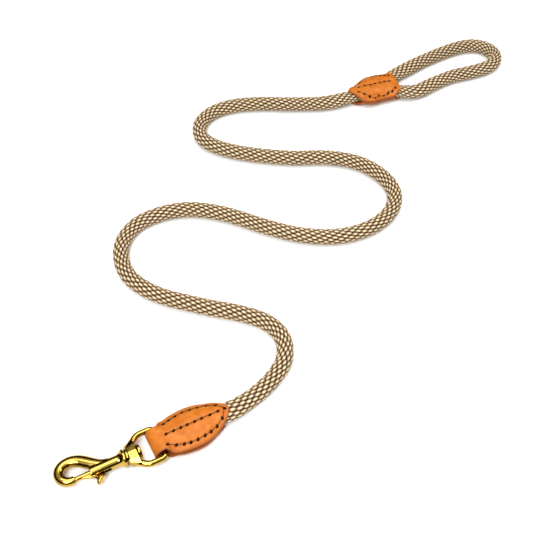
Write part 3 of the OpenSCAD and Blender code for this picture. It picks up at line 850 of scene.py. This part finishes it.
def maths(tree, kind, a, b, clamp=False):
    node = tree.nodes.new("ShaderNodeMath")
    node.operation = kind
    node.use_clamp = clamp
    for i, value in enumerate((a, b)):
        if isinstance(value, (int, float)):
            node.inputs[i].default_value = value
        else:
            tree.links.new(value, node.inputs[i])
    return node.outputs[0]


def mesh_value(tree, name):
    node = tree.nodes.new("ShaderNodeAttribute")
    node.attribute_name = name
    return node.outputs["Fac"]


def dress(tree, shader, colour, bump, strength, distance=0.0002):
    """Link a finish's varying colour and bump height to its shader."""
    tree.links.new(colour, shader.inputs["Base Color"])
    node = tree.nodes.new("ShaderNodeBump")
    node.inputs["Strength"].default_value = strength
    node.inputs["Distance"].default_value = distance
    tree.links.new(bump, node.inputs["Height"])
    tree.links.new(node.outputs["Normal"], shader.inputs["Normal"])


# %% [markdown]
# ### Rope
# The yarn is pale sand on top of the bumps. The material paints shade on their sides, tan, and
# near black down in the holes. The filaments of the yarn run along each bump, and are made with
# stripes across the rope's own coordinates: one runs along it and the other round it.

# %% Rope yarn
rope_yarn, tree, shader = new_finish("rope_yarn")
braid = mesh_value(tree, "braid")
marks = add_group(tree, uneven, Scale=900.0, Detail=3.0)
uneven_mark = maths(tree, "MULTIPLY", maths(tree, "SUBTRACT", marks.outputs["Height"], 0.5), 0.25)
shade = maths(tree, "ADD", braid, uneven_mark)
# Painted shade: this ramp darkens the yarn down the bumps' sides and paints it near black in the holes between
# them.
yarn_and_painted_shade = ramp(tree, shade, [(0.0, (0.010, 0.004, 0.001)), (0.34, (0.035, 0.015, 0.004)),
                          (0.55, (0.15, 0.082, 0.032)), (0.78, (0.40, 0.28, 0.15)), (1.0, (0.84, 0.70, 0.48))])
uv = tree.nodes.new("ShaderNodeUVMap")
stretch = tree.nodes.new("ShaderNodeMapping")
stretch.inputs["Scale"].default_value = (300.0, 2300.0, 1.0)
stretch.inputs["Rotation"].default_value = (0.0, 0.0, 0.18)
tree.links.new(uv.outputs["UV"], stretch.inputs["Vector"])
fibre = tree.nodes.new("ShaderNodeTexNoise")
fibre.inputs["Scale"].default_value = 1.0
fibre.inputs["Detail"].default_value = 2.0
tree.links.new(stretch.outputs["Vector"], fibre.inputs["Vector"])
strands = grey_ramp(tree, fibre.outputs["Fac"], (0.3, 0.55), (0.7, 1))
dress(tree, shader, mixed(tree, 0.35, yarn_and_painted_shade, strands, "MULTIPLY"), fibre.outputs["Fac"], 0.6, 0.0003)
tree.links.new(grey_ramp(tree, fibre.outputs["Fac"], (0.3, 0.75), (0.7, 0.5)), shader.inputs["Roughness"])
shader.inputs["Specular IOR Level"].default_value = 0.25
for piece in (rope_lead, rope_handle):
    piece.data.materials.append(rope_yarn)

# %% [markdown]
# ### Leather
# The hide is a warm orange tan. It is darker in patches, where it was pulled round the bar, and
# along its waxed edges, and painted shade makes the holes almost black inside.

# %% Tan hide
tan_hide, tree, shader = new_finish("tan_hide")
pores = add_group(tree, uneven, Scale=1500.0, Detail=6.0)
edge, sewn, hole = (mesh_value(tree, name) for name in ("edge", "sewn", "hole"))
hide = ramp(tree, pores.outputs["Patches"], [(0.3, (0.42, 0.105, 0.008)), (0.55, (0.51, 0.145, 0.014)),
                                             (0.8, (0.58, 0.185, 0.024))])
grain = tree.nodes.new("ShaderNodeTexVoronoi")
grain.inputs["Scale"].default_value = 1400.0
where = tree.nodes.new("ShaderNodeTexCoord")
tree.links.new(where.outputs["Object"], grain.inputs["Vector"])
hide = mixed(tree, maths(tree, "MULTIPLY", sewn, 0.3), hide, (0.30, 0.075, 0.010))
hide = mixed(tree, maths(tree, "MULTIPLY", edge, 0.85, clamp=True), hide, (0.24, 0.065, 0.012))
# Painted shade: the leather is painted near black down in the stitch holes.
hide = mixed(tree, grey_ramp(tree, hole, (0.12, 0), (0.42, 1)), hide, (0.010, 0.004, 0.002))
skin = maths(tree, "ADD", maths(tree, "MULTIPLY", pores.outputs["Height"], 0.6),
             maths(tree, "MULTIPLY", grain.outputs["Distance"], 0.5))
dress(tree, shader, hide, skin, 0.35)
tree.links.new(grey_ramp(tree, pores.outputs["Height"], (0.3, 0.38), (0.7, 0.56)), shader.inputs["Roughness"])
shader.inputs["Specular IOR Level"].default_value = 0.2
for piece in [hook_tab] + wraps:
    piece.data.materials.append(tan_hide)

# %% Waxed thread
def thread_finish(name, dark, pale):
    finish, tree, shader = new_finish(name)
    wax = add_group(tree, uneven, Scale=2500.0, Detail=2.0)
    colour = ramp(tree, wax.outputs["Height"], [(0.35, dark), (0.65, pale)])
    # Painted shade: the thread is painted near black where it sinks into a hole.
    colour = mixed(tree, mesh_value(tree, "sunk"), colour, (0.010, 0.004, 0.002))
    dress(tree, shader, colour, wax.outputs["Height"], 0.6)
    shader.inputs["Roughness"].default_value = 0.6
    shader.inputs["Specular IOR Level"].default_value = 0.15
    return finish


brown_thread = thread_finish("waxed_thread_brown", (0.05, 0.016, 0.003), (0.17, 0.058, 0.009))
tan_thread = thread_finish("waxed_thread_tan", (0.24, 0.062, 0.006), (0.38, 0.11, 0.012))
for piece in threads:
    piece.data.materials.append(brown_thread if piece.name.startswith("tab") else tan_thread)

# %% [markdown]
# ### Metal
# Polished brass is yellow only in its reflections, so most of its look comes from what it
# reflects. It is not perfectly smooth: handling leaves patches that are a little duller.

# %% Polished brass and spring steel
polished_brass, tree, shader = new_finish("polished_brass")
handled = add_group(tree, uneven, Scale=700.0, Detail=4.0)
yellow = ramp(tree, handled.outputs["Patches"], [(0.35, (0.40, 0.245, 0.036)), (0.65, (0.52, 0.33, 0.065))])
dress(tree, shader, yellow, handled.outputs["Height"], 0.08)
dull = grey_ramp(tree, handled.outputs["Patches"], (0.3, 0.07), (0.7, 0.16))
tree.links.new(dull, shader.inputs["Roughness"])
shader.inputs["Metallic"].default_value = 1.0
spring_wire, tree, shader = new_finish("spring_wire")
drawn = add_group(tree, uneven, Scale=1800.0, Detail=3.0)
steel = ramp(tree, drawn.outputs["Height"], [(0.3, (0.42, 0.42, 0.44)), (0.7, (0.62, 0.62, 0.64))])
dress(tree, shader, steel, drawn.outputs["Height"], 0.2, 0.0001)
shader.inputs["Metallic"].default_value = 1.0
shader.inputs["Roughness"].default_value = 0.3
for piece in (hook_body, bolt, rivet, eye):
    piece.data.materials.append(polished_brass)
spring.data.materials.append(spring_wire)

# %% [markdown]
# ## Stage
# A plain pale floor and soft lights. Far behind is a pale wall, so that a low view ends in
# something plain. The brass must not see that wall, or it would lose its dark edges, so the wall
# is left out of reflections and gives no light.

# %% Floor and wall
FLOOR_R = 9
floor_z = min(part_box("rope_lead")[0][2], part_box("hook_tab")[0][2]) - 0.0001
under = (0.25, 0.15, floor_z)
bpy.ops.mesh.primitive_circle_add(vertices=96, radius=FLOOR_R, fill_type="NGON", location=under)
floor = bpy.context.object
floor.name = "floor"
paper, tree, shader = new_finish("paper_floor")
shader.inputs["Base Color"].default_value = (0.90, 0.90, 0.90, 1)
shader.inputs["Roughness"].default_value = 0.9
floor.data.materials.append(paper)
bpy.ops.mesh.primitive_cylinder_add(vertices=96, radius=FLOOR_R, depth=12, end_fill_type="NOTHING",
                                    location=under)
wall = bpy.context.object
wall.name = "wall"
wall.visible_glossy = wall.visible_diffuse = wall.visible_shadow = False
pale, tree, shader = new_finish("pale_wall")
shader.inputs["Base Color"].default_value = (0.0, 0.0, 0.0, 1)
shader.inputs["Emission Color"].default_value = (0.50, 0.50, 0.50, 1)
shader.inputs["Emission Strength"].default_value = 1.0
wall.data.materials.append(pale)


# %% Lights
def soft_light(name, place, aim, size, power):
    data = bpy.data.lights.new(name, "AREA")
    data.size = size
    data.energy = power
    lamp = bpy.data.objects.new(name, data)
    lamp.location = place
    lamp.rotation_euler = (Vector(aim) - Vector(place)).to_track_quat("-Z", "Y").to_euler()
    bpy.context.scene.collection.objects.link(lamp)
    print(name, "light:", power, "W")


middle = (0.25, 0.12, 0)
soft_light("front", (-0.35, -0.55, 1.05), (0.15, 0.05, 0), 0.6, 17)
soft_light("side", (0.95, 0.0, 0.9), middle, 0.5, 3.5)
soft_light("top", (0.2, 0.25, 1.5), middle, 0.9, 12.5)

# %% [markdown]
# Metal shows the room round it, so an even white room would make the brass look flat. The sky
# here is bright overhead and dark in a band near the horizon, as in a studio with a ceiling
# panel and dark walls: the upper faces of the brass catch the panel and its sides go dark.

# %% The room
world = bpy.data.worlds.new("studio")
bpy.context.scene.world = world
world.use_nodes = True
sky = world.node_tree
direction = sky.nodes.new("ShaderNodeTexCoord")
split = sky.nodes.new("ShaderNodeSeparateXYZ")
sky.links.new(direction.outputs["Generated"], split.inputs["Vector"])
room = ramp(sky, split.outputs["Z"], [(0.0, (0.12, 0.11, 0.10)), (0.06, (0.012, 0.012, 0.012)),
                                      (0.60, (0.02, 0.02, 0.02)), (0.78, (0.72, 0.73, 0.75)),
                                      (1.0, (0.82, 0.82, 0.82))])
sky.links.new(room, sky.nodes["Background"].inputs["Color"])
sky.nodes["Background"].inputs["Strength"].default_value = 1.0
bpy.context.scene.view_settings.view_transform = "Standard"
